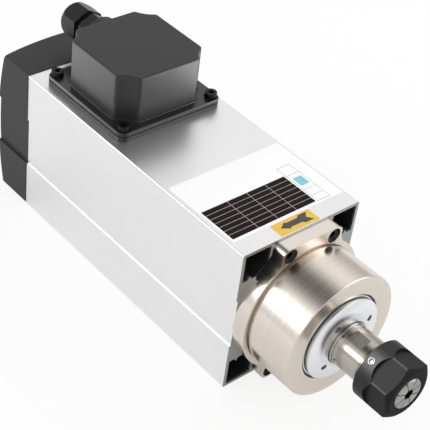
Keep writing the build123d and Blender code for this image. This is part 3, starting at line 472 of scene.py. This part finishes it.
# the strip of cells beside it, framed by a line: the cells end at these shares of its length
noticeStrip = {"xs": (-45.0, -12.5), "ys": (22.0, 31.3), "cells": (0.24, 0.66, 0.84), "line": 0.25,
               "lineInk": "#8a8a8c"}
stripXs = fromFront(noticeStrip["xs"])
stripYs = noticeStrip["ys"]
cellLines = [stripXs[0] + (stripXs[1] - stripXs[0]) * share for share in noticeStrip["cells"]]
halfLine = noticeStrip["line"] / 2
frameColumns = [stripYs[0] + halfLine, stripYs[1] - halfLine]
frameRows = [stripXs[0] + halfLine, *cellLines, stripXs[1] - halfLine]
paleFilm = printedFilm("stripInk", "#f8f8f8", "#fcfcfc")
stripInk = ruled(paleFilm, frameColumns, frameRows, noticeStrip["line"], noticeStrip["lineInk"])
flatSheet("notice_strip", stripXs, stripYs, labelTop, inkLayer["thick"], inkLayer["corner"], stripInk)

# the plain blue block in the strip's widest cell, set in from its lines
noticeBlock = {"along": 3.2, "across": 1.6, "corner": 0.8}
blockXs = (cellLines[0] + noticeBlock["along"], cellLines[1] - noticeBlock["along"])
blockYs = (stripYs[0] + noticeBlock["across"], stripYs[1] - noticeBlock["across"])
blueInk = printedFilm("blueInk", "#7cc3dc", "#8accdf")[0]
flatSheet("notice_block", blockXs, blockYs, labelTop + inkLayer["thick"], inkLayer["thick"],
          noticeBlock["corner"], blueInk)

arrowSticker = {"xs": (-10.4, -1.0), "ys": (-14.3, 12.8), "thick": 0.12, "corner": 0.4}
yellowFilm = printedFilm("yellowFilm", "#e5ba40", "#ecc34b")[0]
flatSheet("turn_sticker", fromFront(arrowSticker["xs"]), arrowSticker["ys"], topFace, arrowSticker["thick"],
          arrowSticker["corner"], yellowFilm)

# the turning arrow: half its outline from the tip to the notched tail, as distance from its middle and y
turningArrow = {
    "middle": -6.1,
    "outline": ((0.0, -10.4), (2.9, -5.6), (1.9, -5.2), (2.0, 3.0), (3.3, 4.2), (3.3, 10.2), (0.0, 7.4)),
    "thick": 0.05,
}


def makeArrow(settings):
    bm = bmesh.new()
    middle = frontFace + settings["middle"]
    height = topFace + arrowSticker["thick"]
    outline = settings["outline"]
    right = [bm.verts.new(Vector((middle + away, y, height)) * mm) for away, y in outline]
    left = [bm.verts.new(Vector((middle - away, y, height)) * mm) for away, y in outline[-2:0:-1]]
    bm.faces.new(right + left)
    grown = bmesh.ops.extrude_face_region(bm, geom=bm.faces[:])
    raised = [v for v in grown["geom"] if isinstance(v, bmesh.types.BMVert)]
    bmesh.ops.translate(bm, vec=(0, 0, settings["thick"] * mm), verts=raised)
    greyInk = printedFilm("greyInk", "#3b3b3d", "#444446")[0]
    finishPiece("turn_arrow", bm, greyInk, "motor_body")


makeArrow(turningArrow)
print("labels laid")

# the bright countersunk bottom of the nut's locking hole, in mm: distance from the nut's back, and pairs of
# radius and height over the nut's cylinder. Its angle is in degrees from straight up.
lockingHole = {
    "back": 3.5,
    "angle": 38.5,
    "profile": ((0.0, -0.85), (0.8, -0.64), (1.3, -0.2), (1.45, -0.06), (1.66, 0.03), (1.78, -0.05)),
    "steps": 32,
}


def makeLockingHole(settings):
    low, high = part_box("collet_nut")
    bm = bmesh.new()
    chain = [bm.verts.new((r * mm, 0, height * mm)) for r, height in settings["profile"]]
    for a, b in zip(chain, chain[1:]):
        bm.edges.new((a, b))
    bmesh.ops.spin(bm, geom=bm.verts[:] + bm.edges[:], cent=(0, 0, 0), axis=(0, 0, 1), dvec=(0, 0, 0),
                   angle=math.tau, steps=settings["steps"], use_merge=True, use_duplicate=False)
    bmesh.ops.remove_doubles(bm, verts=bm.verts, dist=0.001 * mm)
    for v in bm.verts:  # bent round the nut's cylinder
        v.co.z += math.sqrt(high.y ** 2 - v.co.y ** 2)
    turn = Matrix.Rotation(math.radians(settings["angle"]), 4, "X")
    move = Matrix.Translation((low.x + settings["back"] * mm, 0, 0))
    bmesh.ops.transform(bm, matrix=move @ turn, verts=bm.verts)
    for face in bm.faces:
        face.smooth = True
    finishPiece("locking_hole", bm, finishes["spring_steel"], "nut_body")


makeLockingHole(lockingHole)
print("locking hole countersunk")

# the table under the object: half its width in metres, the gap over it in mm, and the share of plain white
# in it where it is seen straight and where it is seen in a mirror
whiteTable = {"half": 3.0, "gap": 0.1, "colour": "#f6f6f6", "seenShare": 0.84, "mirroredShare": 0.3}


def makeFloor(settings):
    # a matt white table, seen as plain white, that keeps the soft shadow under the object
    bm = bmesh.new()
    bmesh.ops.create_grid(bm, x_segments=8, y_segments=8, size=settings["half"])
    bmesh.ops.translate(bm, vec=(0, 0, cadBox[0].z - settings["gap"] * mm), verts=bm.verts)
    mesh = bpy.data.meshes.new("floor")
    bm.to_mesh(mesh)
    bm.free()
    floor = bpy.data.objects.new("floor", mesh)
    scene.collection.objects.link(floor)
    material, tree, shader = newFinish("mattWhiteTable", Roughness=0.8)[:3]
    shader.inputs["Base Color"].default_value = fromHex(settings["colour"])
    glow = addNode(tree, "ShaderNodeEmission", {"Color": (1, 1, 1, 1), "Strength": 1.0})
    path = addNode(tree, "ShaderNodeLightPath")
    seen = addNode(tree, "ShaderNodeMath", {"operation": "MAXIMUM"},
                   {0: (path, "Is Camera Ray"), 1: (path, "Is Transmission Ray")})
    direct = addNode(tree, "ShaderNodeMath", {"operation": "MULTIPLY", 1: settings["seenShare"]},
                     {0: (seen, 0)})
    mirrored = addNode(tree, "ShaderNodeMath", {"operation": "MULTIPLY", 1: settings["mirroredShare"]},
                       {0: (path, "Is Glossy Ray")})
    share = addNode(tree, "ShaderNodeMath", {"operation": "MAXIMUM"}, {0: (direct, 0), 1: (mirrored, 0)})
    mix = addNode(tree, "ShaderNodeMixShader", {},
                  {0: (share, 0), 1: (shader, "BSDF"), 2: (glow, "Emission")})
    tree.links.new(mix.outputs["Shader"], tree.get_output_node("ALL").inputs["Surface"])
    mesh.materials.append(material)


makeFloor(whiteTable)
print("table laid")

# the pale studio as mirrors show it: brightness by the angle in degrees from straight up towards +Y. Towards
# the object's two ends it becomes the one level "ends", as the direction's x goes through "endsFrom".
studio = {
    "levels": (
        (-180, 0.8), (-110, 0.7), (-94, 0.7), (-79, 0.95), (-66, 1.0), (-56, 1.3), (-40, 1.1), (-30, 0.6),
        (-20, 0.22), (-8, 0.14), (4, 0.18), (14, 0.5), (24, 0.95), (41, 1.25), (61, 0.82), (81, 0.58),
        (100, 0.55), (180, 0.8),
    ),
    "top": 1.6,  # brightness of a ramp colour of 1
    "ends": 0.9,
    "endsFrom": (0.62, 0.95),
    "ambient": 0.78,  # brightness on matt surfaces
}


def makeWorld(settings):
    world = bpy.data.worlds.new("paleStudio")
    scene.world = world
    world.use_nodes = True
    tree = world.node_tree
    tree.nodes.clear()
    place = addNode(tree, "ShaderNodeTexCoord")
    parts = addNode(tree, "ShaderNodeSeparateXYZ", {}, {"Vector": (place, "Generated")})
    turn = addNode(tree, "ShaderNodeMath", {"operation": "ARCTAN2"}, {0: (parts, "Y"), 1: (parts, "Z")})
    around = addNode(tree, "ShaderNodeMapRange", {"From Min": -math.pi, "From Max": math.pi},
                     {"Value": (turn, 0)})
    ramp = addNode(tree, "ShaderNodeValToRGB", {}, {"Fac": (around, "Result")})
    ramp.color_ramp.interpolation = "B_SPLINE"
    stops = ramp.color_ramp.elements
    while len(stops) > 1:
        stops.remove(stops[-1])
    for i, (angle, level) in enumerate(settings["levels"]):
        position = 0.5 + angle / 360
        stop = stops[0] if i == 0 else stops.new(position)
        stop.position = position
        grey = level / settings["top"]
        stop.color = (grey, grey, grey, 1)
    side = addNode(tree, "ShaderNodeMath", {"operation": "ABSOLUTE"}, {0: (parts, "X")})
    start, end = settings["endsFrom"]
    ends = addNode(tree, "ShaderNodeMapRange", {"From Min": start, "From Max": end}, {"Value": (side, 0)})
    endGrey = settings["ends"] / settings["top"]
    calm = addNode(tree, "ShaderNodeMix", {"data_type": "RGBA", 7: (endGrey, endGrey, endGrey, 1)},
                   {0: (ends, "Result"), 6: (ramp, "Color")})
    mirrored = addNode(tree, "ShaderNodeBackground", {"Strength": settings["top"]}, {"Color": (calm, 2)})
    ambient = addNode(tree, "ShaderNodeBackground", {"Color": (1, 1, 1, 1), "Strength": settings["ambient"]})
    white = addNode(tree, "ShaderNodeBackground", {"Color": (1, 1, 1, 1), "Strength": 1.0})
    path = addNode(tree, "ShaderNodeLightPath")
    glossy = addNode(tree, "ShaderNodeMixShader", {},
                     {0: (path, "Is Glossy Ray"), 1: (ambient, 0), 2: (mirrored, 0)})
    seen = addNode(tree, "ShaderNodeMath", {"operation": "MAXIMUM"},
                   {0: (path, "Is Camera Ray"), 1: (path, "Is Transmission Ray")})
    final = addNode(tree, "ShaderNodeMixShader", {}, {0: (seen, 0), 1: (glossy, 0), 2: (white, 0)})
    addNode(tree, "ShaderNodeOutputWorld", {}, {"Surface": (final, 0)})


makeWorld(studio)

# soft boxes: direction and distance from the object's middle, or from the place "at", in metres, then size in
# metres, brightness of the face, whether mirrors show it, and the only pieces that it lights
softBoxes = {
    "keyBox": {
        "towards": (-0.48, -0.80, 0.44),
        "distance": 1.3,
        "size": (0.8, 0.42),
        "bright": 4.5,
        "mirrored": True,
    },
    "fillBox": {
        "towards": (-0.25, 0.75, 0.60),
        "distance": 1.4,
        "size": (0.9, 0.7),
        "bright": 1.6,
        "mirrored": False,
    },
    "frontBox": {
        "towards": (0.60, 0.60, 0.40),
        "distance": 0.7,
        "size": (0.45, 0.35),
        "bright": 1.6,
        "mirrored": True,
    },
    "noseBox": {
        "at": (-0.013, 0.0, 0.0),
        "towards": (-0.38, -0.46, 0.80),
        "distance": 0.3,
        "size": (0.15, 0.34),
        "bright": 18.0,
        "mirrored": True,
        "only": ("collet_nut", "locking_hole"),
    },
    "rearBox": {
        "at": (-0.225, -0.03, 0.05),
        "towards": (-0.86, -0.50, -0.06),
        "distance": 0.10,
        "size": (0.06, 0.12),
        "bright": 3.4,
        "mirrored": True,
        "only": ("junction_box_lid",),
    },
    "sideBox": {
        "at": (-0.165, 0.04, 0.05),
        "towards": (0.60, 0.80, -0.20),
        "distance": 0.09,
        "size": (0.06, 0.12),
        "bright": 14.0,
        "mirrored": True,
        "only": ("junction_box_lid",),
    },
}
objectMiddle = Vector(((cadBox[0].x + cadBox[1].x) / 2, 0, 10 * mm))


def makeSoftBox(name, settings):
    wide, high = settings["size"]
    data = bpy.data.lights.new(name, "AREA")
    data.shape = "RECTANGLE"
    data.size = wide
    data.size_y = high
    data.energy = settings["bright"] * math.pi * wide * high
    lamp = bpy.data.objects.new(name, data)
    lamp.visible_glossy = settings["mirrored"]
    lamp.visible_camera = False
    away = Vector(settings["towards"]).normalized()
    lamp.location = Vector(settings.get("at", objectMiddle)) + away * settings["distance"]
    lamp.rotation_euler = away.to_track_quat("Z", "Y").to_euler()
    scene.collection.objects.link(lamp)
    if "only" in settings:
        lit = bpy.data.collections.new(name + "Lit")
        for piece in settings["only"]:
            lit.objects.link(bpy.data.objects[piece])
        lamp.light_linking.receiver_collection = lit


for name, settings in softBoxes.items():
    makeSoftBox(name, settings)
print("studio lit")
